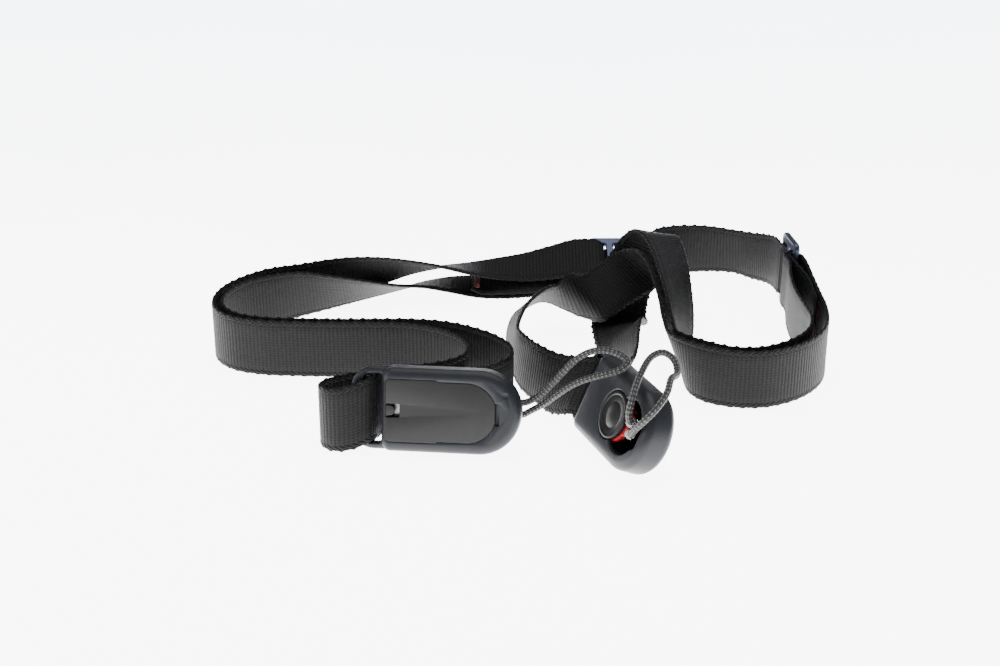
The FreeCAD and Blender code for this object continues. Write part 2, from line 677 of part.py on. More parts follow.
# ---------------------------------------------------------------- origin, check and write
# the strap is laid out about its own working point, then moved so the middle of its footprint is the origin
TO_ORIGIN = FreeCAD.Placement(V(-2.2, 5.5, 0), FreeCAD.Rotation())
for obj in nodes:
    obj.Placement = TO_ORIGIN * obj.Placement
doc.recompute()
for obj in doc.Objects:
    if "Invalid" in obj.State or "Error" in obj.State:
        raise RuntimeError("%s failed: %s" % (obj.Label, obj.State))
for obj in nodes:
    if obj.Shape.isNull() or not obj.Shape.isValid():
        raise RuntimeError("%s has a bad shape" % obj.Label)
    if len(obj.Shape.Solids) < 1 or obj.Shape.Volume <= 0:
        raise RuntimeError("%s has no solid" % obj.Label)
os.makedirs("parts", exist_ok=True)
for obj in nodes:
    obj.Shape.exportStep("parts/%s.step" % obj.Label)
print("%d nodes written" % len(nodes))
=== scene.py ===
import math
import bmesh
import bpy
from mathutils import Matrix, Vector


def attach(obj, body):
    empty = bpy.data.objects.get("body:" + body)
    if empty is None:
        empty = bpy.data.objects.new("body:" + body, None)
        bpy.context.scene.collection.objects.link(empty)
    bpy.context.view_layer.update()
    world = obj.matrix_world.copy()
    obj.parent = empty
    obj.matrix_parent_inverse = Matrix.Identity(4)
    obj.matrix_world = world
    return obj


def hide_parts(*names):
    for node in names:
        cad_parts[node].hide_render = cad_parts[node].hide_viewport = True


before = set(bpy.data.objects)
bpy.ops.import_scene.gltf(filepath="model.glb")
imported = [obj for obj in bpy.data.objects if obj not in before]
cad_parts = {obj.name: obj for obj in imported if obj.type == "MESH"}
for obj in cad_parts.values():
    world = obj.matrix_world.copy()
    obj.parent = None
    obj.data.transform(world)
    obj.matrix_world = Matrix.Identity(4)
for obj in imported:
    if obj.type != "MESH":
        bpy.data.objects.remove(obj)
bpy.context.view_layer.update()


# ================================================================ webbing
# One 19 mm nylon strip, about 1.5 m long, woven with cross ribs and a braided selvedge on both edges.
# Its ends are folded back and sewn at the adjusters, it is threaded through both plates, and it is looped
# through both connectors. Stations along it are in millimetres about the strap's own working point.
MM = 0.001
ORIGIN = Vector((-2.2, 5.5, 0.0))


def vec(x, y, z):
    return Vector((x, y, z))


UP = vec(0, 0, 1)


def lean_up(degrees):
    a = math.radians(degrees)
    return vec(0, -math.sin(a), math.cos(a))


class Seat:
    """Where a rigid piece sits: a centre, and its own three directions."""

    def __init__(self, centre, along, across, out):
        self.centre, self.along, self.across, self.out = centre, along, across, out

    def at(self, x, y, z):
        return self.centre + self.along * x + self.across * y + self.out * z

    def matrix(self):
        m = Matrix.Identity(4)
        for column, axis in enumerate((self.along, self.across, self.out)):
            for row in range(3):
                m[row][column] = axis[row]
        m.translation = self.centre * MM
        return m


TILT_1 = math.radians(25)
TURN_2 = math.radians(4)
ADJUSTER_1 = Seat(vec(38, 72, 7.5) + ORIGIN, vec(1, 0, 0),
                  vec(0, math.cos(TILT_1), math.sin(TILT_1)), vec(0, -math.sin(TILT_1), math.cos(TILT_1)))
ADJUSTER_2 = Seat(vec(100.3, 44, 13.6) + ORIGIN, vec(-math.sin(TURN_2), math.cos(TURN_2), 0),
                  vec(0, 0, -1), vec(-math.cos(TURN_2), -math.sin(TURN_2), 0))

LEFT = [
    (15, 67.8, 9.4, lean_up(111)), (5, 65.4, 8.5, lean_up(103)), (-5, 63.8, 8.5, lean_up(94)),
    (-15, 60.2, 9.8, lean_up(83)), (-26, 55.8, 12, lean_up(70)), (-38, 51.6, 13.1, lean_up(55)),
    (-50, 47.8, 12.6, lean_up(36)), (-62, 45.2, 11, lean_up(20)), (-75, 40, 9.6, lean_up(8)),
    (-86, 33.2, 9.6, UP), (-94, 24.5, 9.6, UP), (-98.8, 14, 9.6, UP), (-99.8, 4, 9.6, UP),
    (-97.3, -5.4, 9.6, UP), (-91, -12.4, 9.6, UP), (-82, -16, 9.6, UP), (-70, -17.3, 9.6, UP),
    (-56, -17.7, 9.6, UP), (-44, -17.7, 9.6, UP), (-33, -18.9, 9.6, UP), (-24, -22.6, 9.6, UP),
    (-17, -29.2, 9.6, UP), (-13.9, -37, 9.6, UP), (-15.2, -44.4, 9.6, UP), (-20.5, -49.4, 9.6, UP),
    (-28, -52.4, 9.6, UP), (-36, -54.4, 9.6, UP), (-43.5, -57, 9.6, UP), (-50, -60, 9.6, UP),
    (-54.4, -62.6, 9.6, UP), (-56.4, -66.2, 9.6, vec(0, 0.02, 1)), (-55, -70, 9.8, vec(0, 0.05, 1)),
    (-51, -72.8, 10.4, vec(0, 0.1, 1)), (-46.5, -73, 11.5, vec(0, 0.18, 1)),
    (-42.5, -71.2, 12.5, vec(0.025, 0.24, 0.97)), (-40.6, -68.1, 12.3, vec(0.025, 0.24, 0.97)),
    (-39.6, -64.2, 11.6, vec(0.025, 0.24, 0.97)), (-36.9, -60.2, 10.8, vec(0.02, 0.18, 0.98)),
    (-31.5, -58.7, 10, vec(0, 0.08, 1)), (-23, -58, 9.6, UP), (-14, -56.3, 9.6, UP),
    (-6, -52.3, 9.6, UP), (-1.2, -46, 9.6, UP), (-0.6, -38, 9.6, UP), (-4.5, -30, 9.6, UP),
    (-11.5, -23, 9.6, UP), (-20.5, -17.6, 9.6, UP), (-30.5, -15.2, 9.6, UP), (-43, -14.9, 9.6, UP),
    (-56, -15, 9.6, UP), (-70, -14.6, 9.6, UP), (-81, -13.3, 9.6, UP), (-89.6, -9.8, 9.6, UP),
    (-95, -3.4, 9.6, UP), (-96.9, 5.4, 9.6, UP), (-95.2, 14.2, 9.6, UP), (-90.8, 21.8, 9.6, UP),
    (-83, 28.4, 9.6, lean_up(5)), (-75, 33.4, 9.6, lean_up(15)), (-65, 38.2, 8.7, lean_up(32)),
    (-53, 45.4, 6.9, lean_up(50)), (-41, 53.2, 4.9, lean_up(66)), (-31, 59.6, 3.7, lean_up(77)),
    (-22, 62.4, 2.6, lean_up(87)), (-12, 62.4, 1.9, lean_up(95)), (-3, 62, 2.5, lean_up(100)),
    (6, 63, 3.2, lean_up(104)), (16, 67.6, 4.3, lean_up(112)),
]
RIGHT_UPPER = [
    (96.6, 22, 11.2, UP), (96.6, 11, 9.7, UP), (97.1, 0, 9.6, UP), (97.3, -11, 9.6, UP),
    (95.2, -20.4, 9.6, UP), (90.8, -28.2, 9.6, UP), (84.6, -34.2, 9.6, UP), (77, -38.3, 9.6, UP),
    (69, -38.6, 9.6, UP), (62, -35, 9.6, UP), (57.6, -30, 9.7, vec(-0.12, -0.05, 1)),
    (55.4, -23.6, 10.1, vec(-0.34, -0.14, 0.93)), (54.9, -14, 13, vec(-0.42, -0.3, 0.86)),
    (55.5, -3, 18.6, vec(-0.55, -0.55, 0.63)), (55, 10.3, 24.6, vec(-0.63, -0.66, 0.4)),
    (53.8, 26, 29.2, vec(-0.71, -0.62, 0.32)), (52, 36, 30.8, vec(-0.75, -0.6, 0.27)),
    (49.8, 42.6, 28.2, vec(-0.8, -0.45, 0.35)), (47.5, 43.5, 23.6, vec(-0.88, -0.19, 0.43)),
    (43.8, 40, 17.6, vec(-0.9, 0.06, 0.43)), (40.6, 35.4, 12.3, vec(-0.92, 0.02, 0.4)),
    (38.4, 29, 7.4, vec(-0.96, 0.03, 0.24)), (37.6, 21.5, 3.1, vec(-0.99, 0, 0)),
    (37.4, 14, 4.4, vec(-0.95, 0, -0.28)), (37, 6.5, 5.6, vec(-0.86, -0.02, -0.5)),
]
RIGHT_LOWER = [
    (36.8, -1, 7.3, vec(0.7, 0.05, 0.71)), (35.4, -19, 8.3, vec(0.55, 0, 0.83)),
    (34.3, -36, 9.2, vec(0.45, 0.05, 0.9)), (32.4, -46.4, 10, vec(0.42, 0.12, 0.9)),
    (28.3, -53.4, 11, vec(0.38, 0.14, 0.91)), (24.3, -54.4, 12.2, vec(0.38, 0.14, 0.91)),
    (20.7, -53.8, 12.8, vec(0.37, 0.13, 0.92)), (17.2, -50.4, 11.4, vec(0.3, 0.12, 0.95)),
    (13.6, -46, 9.9, vec(0.2, 0.1, 0.97)), (7.3, -36.3, 9.6, vec(0.11, -0.07, 0.99)),
    (3.2, -28.2, 10, vec(0.13, -0.22, 0.97)), (0.5, -19, 12.4, vec(0.16, -0.63, 0.76)),
    (0.9, -5.2, 14.3, vec(0.22, -0.8, 0.56)), (5.9, 11.4, 14.7, vec(0.16, -0.84, 0.53)),
    (12.6, 19.8, 14.4, vec(-0.03, -0.8, 0.59)), (18.2, 21.2, 13, vec(-0.18, -0.6, 0.78)),
    (23.2, 20.6, 13.3, vec(-0.42, -0.05, 0.9)), (27.4, 20.8, 12.8, vec(-0.45, 0.56, 0.69)),
    (34.4, 27, 14.6, vec(-0.58, 0.63, 0.52)), (41, 32, 17.2, vec(-0.65, 0.5, 0.55)),
    (46.6, 34, 20, vec(-0.78, 0.1, 0.55)), (50.4, 31.6, 23.6, vec(-0.8, -0.3, 0.45)),
    (52, 24, 25, vec(-0.73, -0.58, 0.36)), (52.8, 11.6, 22.4, vec(-0.63, -0.66, 0.4)),
    (53.2, -2, 17, vec(-0.55, -0.55, 0.63)), (52.4, -13.6, 12, vec(-0.42, -0.3, 0.86)),
    (52.7, -24.6, 9.8, vec(-0.3, -0.12, 0.95)), (55.2, -31.6, 9.6, vec(-0.12, -0.05, 1)),
    (60.4, -37.6, 9.6, UP), (68, -41.4, 9.6, UP), (77.3, -41.8, 9.6, UP), (86.4, -37.8, 9.6, UP),
    (94, -31, 9.6, UP), (99.4, -22.4, 9.6, UP), (102.4, -12, 9.6, UP), (103.8, -2, 9.6, UP),
    (104.2, 10, 9.7, UP), (104, 22, 11.2, UP),
]
MAIN = [
    (53, 74.5, 9.6, lean_up(140)), (59.5, 79.5, 9.7, vec(0.1, -0.25, -0.96)),
    (67, 82.8, 9.6, vec(0, -0.05, -1)), (76, 83.3, 9.6, vec(0, 0.1, -1)),
    (85, 80.3, 9.7, vec(0.1, 0.2, -0.97)), (92, 72.8, 10.3, vec(0.06, 0.1, -0.99)),
    (96.2, 63.6, 12.2, vec(0.02, 0.03, -1)),
]
CLEAR_TOP = 3.7
CLEAR_LOW = 2.05
TAIL_OFFSET = 1.85
# the strip's line through a plate: over the sewn bar, under the middle bar, over the free bar
THREADED = [
    (-12, CLEAR_TOP), (-8.5, CLEAR_TOP), (-5.4, 3.5), (-3.5, 2.1), (-2.75, 0.2), (-2.3, -1.4),
    (-1, -2.05), (1, -2.05), (2.5, -1.4), (3.7, 0.2), (5, 1.6), (7, 2.05), (10, 2.05),
]
FOLDED = [
    (-12, CLEAR_LOW), (-8.5, CLEAR_LOW), (-6.2, 1.95), (-5.1, 1.2), (-4.8, 0), (-5.1, -1.2),
    (-6.2, -1.95), (-8.5, -CLEAR_LOW), (-12, -CLEAR_LOW),
]


def strand(rows, sign=1):
    return [(vec(x, y, z) + ORIGIN, edge.normalized() * sign) for x, y, z, edge in rows]


def in_plate(seat, line, sign):
    return [(seat.at(x, 0, z), seat.across * sign) for x, z in line]


def tail_of(rows, last_rows):
    """The sewn end, lying on the inner side of the last rows of its own strand."""
    lying = []
    for i in range(len(rows) - last_rows, len(rows)):
        centre, edge = rows[i]
        ahead = rows[min(i + 1, len(rows) - 1)][0]
        along = (ahead - rows[i - 1][0]).normalized()
        lying.append((centre - along.cross(edge).normalized() * TAIL_OFFSET, edge))
    return lying


left = strand(LEFT)
right_lower = strand(RIGHT_LOWER)
left_tail = tail_of(left, 5)
left_tail[0] = (left_tail[0][0].lerp(left_tail[1][0], 0.7), left_tail[0][1])
right_tail = tail_of(right_lower, 3)
right_tail[0] = (right_tail[0][0].lerp(right_tail[1][0], 0.6), right_tail[0][1])
strip = right_tail + in_plate(ADJUSTER_2, FOLDED, -1) + right_lower[::-1] + strand(RIGHT_UPPER, -1)[::-1]
strip += in_plate(ADJUSTER_2, THREADED, 1) + strand(MAIN)[::-1] + in_plate(ADJUSTER_1, THREADED[::-1], -1)
strip += left + in_plate(ADJUSTER_1, FOLDED[::-1], -1) + left_tail[::-1]


def smooth_line(stations, step):
    """Even samples along a smooth curve through the stations: centre, edge, face normal and run so far."""
    count = len(stations)
    reach = [0.0]
    for a, b in zip(stations, stations[1:]):
        reach.append(reach[-1] + (b[0] - a[0]).length)

    def slopes(k):
        out = []
        for i in range(count):
            j0, j1 = max(i - 1, 0), min(i + 1, count - 1)
            if 0 < i < count - 1:
                h0, h1 = reach[i] - reach[i - 1], reach[i + 1] - reach[i]
                d0 = (stations[i][k] - stations[i - 1][k]) / h0
                d1 = (stations[i + 1][k] - stations[i][k]) / h1
                out.append((d0 * h1 + d1 * h0) / (h0 + h1))
            else:
                out.append((stations[j1][k] - stations[j0][k]) / (reach[j1] - reach[j0]))
        return out

    slope_c, slope_e = slopes(0), slopes(1)
    dense = []
    for i in range(count - 1):
        h = reach[i + 1] - reach[i]
        parts = max(2, int(h / (step * 0.5)))
        for q in range(parts):
            t = q / parts
            a, b = 2 * t**3 - 3 * t**2 + 1, t**3 - 2 * t**2 + t
            c, d = -2 * t**3 + 3 * t**2, t**3 - t**2
            (c0, e0), (c1, e1) = stations[i], stations[i + 1]
            centre = c0 * a + slope_c[i] * (b * h) + c1 * c + slope_c[i + 1] * (d * h)
            edge = e0 * a + slope_e[i] * (b * h) + e1 * c + slope_e[i + 1] * (d * h)
            dense.append((centre, edge.normalized()))
    dense.append(stations[-1])
    total = [0.0]
    for a, b in zip(dense, dense[1:]):
        total.append(total[-1] + (b[0] - a[0]).length)
    wanted = int(total[-1] / step)
    samples, k = [], 0
    for n in range(wanted + 1):
        s = total[-1] * n / wanted
        while k < len(dense) - 2 and total[k + 1] < s:
            k += 1
        t = (s - total[k]) / max(total[k + 1] - total[k], 1e-9)
        edge = dense[k][1].lerp(dense[k + 1][1], t).normalized()
        samples.append((dense[k][0].lerp(dense[k + 1][0], t), edge, s))
    line = []
    for n, (centre, edge, s) in enumerate(samples):
        along = samples[min(n + 1, wanted)][0] - samples[max(n - 1, 0)][0]
        line.append((centre, edge, along.cross(edge).normalized(), s))
    return line


def mesh_object(name, points, faces):
    mesh = bpy.data.meshes.new(name)
    mesh.from_pydata([tuple(p * MM) for p in points], [], faces)
    mesh.validate()
    mesh.update()
    obj = bpy.data.objects.new(name, mesh)
    bpy.context.scene.collection.objects.link(obj)
    return obj


def skin(rows, size):
    """Faces of a closed tube of rows of points, each row a closed ring of the same size, with flat ends."""
    faces = []
    for r in range(rows - 1):
        for i in range(size):
            j = (i + 1) % size
            faces.append((r * size + i, r * size + j, (r + 1) * size + j, (r + 1) * size + i))
    faces.append(tuple(range(size))[::-1])
    faces.append(tuple((rows - 1) * size + i for i in range(size)))
    return faces


def outward(obj):
    """Turn every face outward and shade it smooth."""
    bm = bmesh.new()
    bm.from_mesh(obj.data)
    bmesh.ops.recalc_face_normals(bm, faces=bm.faces)
    bm.to_mesh(obj.data)
    bm.free()
    obj.data.shade_smooth()


def mark_surface(obj, layer_name, uvs):
    """Keep a pair of surface coordinates for each vertex, for the material to read."""
    layer = obj.data.uv_layers.new(name=layer_name)
    for loop in obj.data.loops:
        layer.data[loop.index].uv = uvs[loop.vertex_index]


WEB_HALF = 9.5
WEB_THICK = 1.3
SELVEDGE_FROM = 0.8
SCALLOP_PITCH = 3.9
SCALLOP_DEEP = 0.75
RIB_PITCH = 1.3
YARNS_ACROSS = 21


def webbing_mesh(name, line):
    """Sweep of the woven section: an even middle, then a fuller braided cord along each edge."""
    half = [0.1, 0.35, 0.6, 0.78, 0.82, 0.88, 0.94, 0.985, 1]
    ring_w = [-w for w in half[::-1]] + half
    size = len(ring_w) * 2
    points, uvs = [], []
    for centre, edge, face, s in line:
        for side in (1, -1):
            order = ring_w if side > 0 else ring_w[::-1]
            for w in order:
                out = abs(w)
                phase = math.pi * (s / SCALLOP_PITCH + (0.5 if w > 0 else 0))
                bulge = abs(math.sin(phase))
                width = WEB_HALF * w
                flat = 0.5 * WEB_THICK
                if out > SELVEDGE_FROM:
                    u = (out - SELVEDGE_FROM) / (1 - SELVEDGE_FROM)
                    width += math.copysign(SCALLOP_DEEP * (bulge - 0.8) * u, w)
                    height = flat * math.sqrt(max(1 - (2 * u - 0.9)**2 / 1.21, 0.0)) * (0.9 + 0.12 * bulge)
                else:
                    height = flat * (0.88 + 0.03 * math.cos(math.pi * w * 3))
                points.append(centre + edge * width + face * (height * side))
                uvs.append((w * 0.5 + 0.5, s))
    obj = mesh_object(name, points, skin(len(line), size))
    mark_surface(obj, "weave", uvs)
    outward(obj)
    return obj


class Nodes:
    """Short hand for building a procedural material."""

    def __init__(self, name):
        self.material = bpy.data.materials.new(name)
        self.material.use_nodes = True
        self.tree = self.material.node_tree
        self.shader = next(n for n in self.tree.nodes if n.type == "BSDF_PRINCIPLED")

    def add(self, kind, **values):
        node = self.tree.nodes.new("ShaderNode" + kind)
        for key, value in values.items():
            setattr(node, key, value)
        return node

    def link(self, a, b):
        self.tree.links.new(a, b)

    def feed(self, socket, value):
        if isinstance(value, (int, float, tuple)):
            socket.default_value = value
        else:
            self.link(value, socket)

    def math(self, operation, a, b=0.0):
        node = self.add("Math", operation=operation)
        for socket, value in zip(node.inputs, (a, b)):
            self.feed(socket, value)
        return node.outputs[0]

    def noise(self, vector, scale, detail=3.0):
        node = self.add("TexNoise")
        self.link(vector, node.inputs["Vector"])
        node.inputs["Scale"].default_value = scale
        node.inputs["Detail"].default_value = detail
        return node.outputs[0]

    def mix(self, share, a, b):
        node = self.add("Mix", data_type="RGBA")
        self.feed(node.inputs[0], share)
        self.feed(node.inputs[6], a)
        self.feed(node.inputs[7], b)
        return node.outputs[2]

    def bump(self, height, distance, strength=1.0):
        node = self.add("Bump")
        node.inputs["Distance"].default_value = distance
        node.inputs["Strength"].default_value = strength
        self.link(height, node.inputs["Height"])
        self.link(node.outputs[0], self.shader.inputs["Normal"])

    def set(self, **values):
        for key, value in values.items():
            self.shader.inputs[key.replace("_", " ")].default_value = value

    def object_place(self):
        return self.add("TexCoord").outputs["Object"]


def webbing_material():
    m = Nodes("nylon_webbing")
    uv = m.add("UVMap", uv_map="weave")
    parts = m.add("SeparateXYZ")
    m.link(uv.outputs[0], parts.inputs[0])
    u, v = parts.outputs[0], parts.outputs[1]
    place = m.object_place()
    wander = m.noise(place, 900.0, 2.0)
    v2 = m.math("ADD", v, m.math("MULTIPLY", wander, 0.35))
    rib = m.math("ABSOLUTE", m.math("SINE", m.math("MULTIPLY", v2, math.pi / RIB_PITCH)))
    yarn = m.math("ABSOLUTE", m.math("SINE", m.math("MULTIPLY", u, math.pi * YARNS_ACROSS)))
    middle = m.math("ADD", m.math("MULTIPLY", rib, 0.8), m.math("MULTIPLY", yarn, 0.25))
    off = m.math("ABSOLUTE", m.math("SUBTRACT", u, 0.5))
    edge = m.math("GREATER_THAN", off, 0.41)
    slant = m.math("MULTIPLY", m.math("ABSOLUTE", m.math("SUBTRACT", off, 0.455)), 46.0)
    links = m.math("MULTIPLY", m.math("ADD", v, slant), 2 * math.pi / SCALLOP_PITCH)
    chain = m.math("ABSOLUTE", m.math("SINE", links))
    split = m.add("Mix", data_type="FLOAT")
    m.link(edge, split.inputs[0])
    m.link(middle, split.inputs[2])
    m.link(chain, split.inputs[3])
    height = split.outputs[0]
    fuzz = m.noise(place, 2600.0, 4.0)
    full = m.math("ADD", height, m.math("MULTIPLY", fuzz, 0.35))
    m.bump(full, 0.00022, 1.0)
    # painted shade: the colour follows the weave's height, darker in the troughs between the ribs and the
    # selvedge links and lighter on their crests; the fuzz noise adds random tone on top
    share = m.math("MULTIPLY", height, m.math("ADD", fuzz, 0.3))
    colour = m.mix(share, (0.002, 0.002, 0.0022, 1), (0.0085, 0.0085, 0.0086, 1))
    m.link(colour, m.shader.inputs["Base Color"])
    m.set(Roughness=0.6, Sheen_Weight=0.02, Sheen_Roughness=0.35, Specular_IOR_Level=0.1)
    m.shader.inputs["Sheen Tint"].default_value = (0.9, 0.92, 1.0, 1)
    return m.material


def dress(obj, material, body):
    obj.data.materials.clear()
    obj.data.materials.append(material)
    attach(obj, body)


web_line = smooth_line(strip, 0.55)
webbing = webbing_mesh("webbing_strip", web_line)
dress(webbing, webbing_material(), "webbing")
web_nodes = [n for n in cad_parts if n.startswith(("strap_", "sewn_"))]
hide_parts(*web_nodes)


# ================================================================ bartacks
# Dense bars of dark red polyester thread. Each is sewn straight across a folded end of the strip,
# close to the plate, and holds the fold shut round the plate's first bar.
def tube(points, radius, sides):
    """Closed round tube through points."""
    ring_points = []
    normal = Vector((0.3, 0.2, 1)).normalized()
    for i, p in enumerate(points):
        along = (points[min(i + 1, len(points) - 1)] - points[max(i - 1, 0)]).normalized()
        normal = (normal - along * normal.dot(along)).normalized()
        side = along.cross(normal)
        for k in range(sides):
            a = 2 * math.pi * k / sides
            ring_points.append(p + (normal * math.cos(a) + side * math.sin(a)) * radius)
    return ring_points, skin(len(points), sides)


def many_tubes(name, paths, radius, sides):
    points, faces = [], []
    for path in paths:
        more, shapes = tube(path, radius, sides)
        faces += [tuple(i + len(points) for i in shape) for shape in shapes]
        points += more
    obj = mesh_object(name, points, faces)
    outward(obj)
    return obj


def thread_material():
    m = Nodes("red_thread")
    place = m.object_place()
    grain = m.noise(place, 5000.0, 2.0)
    m.link(m.mix(grain, (0.10, 0.006, 0.010, 1), (0.34, 0.022, 0.030, 1)), m.shader.inputs["Base Color"])
    m.bump(grain, 0.00005, 0.6)
    m.set(Roughness=0.45, Sheen_Weight=0.4)
    return m.material


red_thread = thread_material()
BARTACK_HALF = 6.8
BARTACK_THREADS = 26
THREAD_RADIUS = 0.27


def bartack(name, sample, node):
    """Satin stitches laid side by side across the strip, a little proud of it."""
    centre, edge, face, _ = sample
    along = edge.cross(face).normalized()
    paths = []
    for i in range(BARTACK_THREADS):
        across = -BARTACK_HALF + 2 * BARTACK_HALF * i / (BARTACK_THREADS - 1)
        lean = 0.18 * math.sin(i * 2.4)
        path = []
        for k in range(7):
            t = k / 6 * 2 - 1
            lift = WEB_THICK / 2 + 0.02 + 0.26 * math.sqrt(max(1 - t * t, 0))
            reach = t * (1.0 + 0.08 * math.sin(i * 1.7))
            path.append(centre + edge * (across + lean * t * 0.5) + along * reach + face * lift)
        paths.append(path)
    obj = many_tubes(name, paths, THREAD_RADIUS, 6)
    dress(obj, red_thread, "webbing")
    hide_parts(node)


bartack("bartack_thread_1", web_line[-5], "bartack_1")
bartack("bartack_thread_2", web_line[4], "bartack_2")


# ================================================================ slide adjusters
# Two flat aluminium plates with two slots each, tumbled smooth and anodised a dark blue-grey.
# Nothing fixes them: the strip is threaded through both slots, and its end is folded round the first bar.
def rounded_box(x0, x1, y0, y1, radius, steps=6):
    """Outline of a rectangle with round corners, anticlockwise."""
    out = []
    for cx, cy, start in ((x1 - radius, y1 - radius, 0), (x0 + radius, y1 - radius, 90),
                          (x0 + radius, y0 + radius, 180), (x1 - radius, y0 + radius, 270)):
        for k in range(steps + 1):
            a = math.radians(start + 90 * k / steps)
            out.append((cx + radius * math.cos(a), cy + radius * math.sin(a)))
    return out


def circle(cx, cy, radius, steps=64):
    turns = [2 * math.pi * k / steps for k in range(steps)]
    return [(cx + radius * math.cos(a), cy + radius * math.sin(a)) for a in turns]


def inset(outline, amount):
    """The outline moved inwards along its own corner normals."""
    out = []
    count = len(outline)
    for i in range(count):
        before, here, after = outline[i - 1], outline[i], outline[(i + 1) % count]
        d0 = Vector((here[0] - before[0], here[1] - before[1]))
        d1 = Vector((after[0] - here[0], after[1] - here[1]))
        if d0.length < 1e-6 or d1.length < 1e-6:
            d0 = d1 = d0 if d0.length > d1.length else d1
        d0, d1 = d0.normalized(), d1.normalized()
        n = Vector((-(d0.y + d1.y), d0.x + d1.x)).normalized()
        reach = amount / max(0.6, n.dot(Vector((-d0.y, d0.x))))
        out.append((here[0] + n.x * reach, here[1] + n.y * reach))
    return out


def rounded_profile(z0, z1, low, high, steps=6):
    """Pairs of inset and height that round the low and the high edge of a plate."""
    pairs = []
    for k in range(steps + 1 if low > 0 else 1):
        a = math.pi / 2 * k / steps
        pairs.append((low * (1 - math.sin(a)), z0 + low * (1 - math.cos(a))))
    for k in range(steps + 1 if high > 0 else 1):
        a = math.pi / 2 * k / steps
        pairs.append((high * (1 - math.cos(a)), z1 - high * (1 - math.sin(a))))
    return pairs


def stacked(name, outline, profile):
    """Closed solid whose outline is inset by a different amount at each height."""
    points = []
    for amount, z in profile:
        layer = inset(outline, amount) if abs(amount) > 1e-9 else outline
        points += [Vector((x, y, z)) for x, y in layer]
    obj = mesh_object(name, points, skin(len(profile), len(outline)))
    outward(obj)
    return obj


def plate(name, outline, z0, z1, low=0.0, high=0.0, steps=6):
    return stacked(name, outline, rounded_profile(z0, z1, low, high, steps))


def settle(obj):
    """Keep the mesh that the object's modifiers make, and drop them."""
    graph = bpy.context.evaluated_depsgraph_get()
    mesh = bpy.data.meshes.new_from_object(obj.evaluated_get(graph))
    obj.modifiers.clear()
    old = obj.data
    obj.data = mesh
    bpy.data.meshes.remove(old)


def combine(obj, other, operation):
    """Join or cut one closed solid with another, and drop the other."""
    tool = obj.modifiers.new("tool", "BOOLEAN")
    tool.object = other
    tool.operation = operation
    tool.solver = "EXACT"
    settle(obj)
    bpy.data.objects.remove(other)


def cut(obj, other):
    combine(obj, other, "DIFFERENCE")


def shade(obj, degrees):
    obj.data.shade_smooth()
    obj.data.set_sharp_from_angle(angle=math.radians(degrees))


def soften(obj, width):
    """Break the sharp edges that cutting leaves, then shade by angle."""
    bevel = obj.modifiers.new("edge", "BEVEL")
    bevel.width = width * MM
    bevel.segments = 2
    bevel.limit_method = "ANGLE"
    bevel.angle_limit = math.radians(32)
    bevel.use_clamp_overlap = True
    settle(obj)
    shade(obj, 38)


def metal_material():
    m = Nodes("anodised_aluminium")
    place = m.object_place()
    grain = m.noise(place, 1400.0, 4.0)
    cloud = m.noise(place, 160.0, 2.0)
    m.link(m.mix(cloud, (0.030, 0.036, 0.062, 1), (0.050, 0.058, 0.092, 1)), m.shader.inputs["Base Color"])
    rough = m.math("ADD", m.math("MULTIPLY", grain, 0.16), 0.26)
    m.link(rough, m.shader.inputs["Roughness"])
    m.bump(grain, 0.00002, 0.35)
    m.set(Metallic=0.85)
    return m.material


anodised = metal_material()
for number, seat in ((1, ADJUSTER_1), (2, ADJUSTER_2)):
    name = "adjuster_plate_%d" % number
    piece = plate(name, rounded_box(-8.5, 8.5, -13.5, 13.5, 2.5, 8), -1.1, 1.1, 0.75, 0.75)
    for x0, x1 in ((-5.9, -1.4), (1.4, 5.9)):
        hole = rounded_box(x0, x1, -10.1, 10.1, 0.9, 5)
        flare = [(-0.45, -1.2), (-0.4, -1.1), (-0.12, -0.85), (0, -0.55),
                 (0, 0.55), (-0.12, 0.85), (-0.4, 1.1), (-0.45, 1.2)]
        cut(piece, stacked("slot_tool", hole, flare))
    shade(piece, 35)
    piece.data.transform(seat.matrix())
    dress(piece, anodised, "adjuster_%d" % number)
    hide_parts("adjuster_%d" % number)


# ================================================================ connector housings
# Glass-filled nylon mouldings in dark grey. The thin ring end holds the webbing, and the deep end has a
# keyhole: a wide window near the nose where the anchor drops in, and a narrower well that holds it.
def leaning_seat(centre, turn, lean):
    turn, lean = math.radians(turn), math.radians(lean)
    along = vec(math.cos(turn), math.sin(turn), 0)
    side = vec(-math.sin(turn), math.cos(turn), 0)
    across = side * math.sin(lean) + UP * math.cos(lean)
    return Seat(centre + ORIGIN, along, across, along.cross(across))


STAND_A = leaning_seat(vec(-22.5, -70, 12.56), -6, 14)
SEATS = {"a": Seat(STAND_A.centre, STAND_A.along, STAND_A.across * -1, STAND_A.out * -1),
         "b": leaning_seat(vec(30.5, -71.5, 12.4), -70, 24)}
HALF_LONG = 25.0
HALF_WIDE = 12.3
HALF_DEEP = 4.75
NOSE = HALF_LONG - HALF_WIDE


def stadium(start, corner, steps=40):
    """Outline with a round nose, straight sides and a squarer end at start."""
    out = [(NOSE + HALF_WIDE * math.cos(math.radians(a)), HALF_WIDE * math.sin(math.radians(a)))
           for a in [-90 + 180 * k / steps for k in range(steps + 1)]]
    for cy, first in ((HALF_WIDE - corner, 90), (-HALF_WIDE + corner, 180)):
        for k in range(13):
            a = math.radians(first + 90 * k / 12)
            out.append((start + corner + corner * math.cos(a), cy + corner * math.sin(a)))
    return out


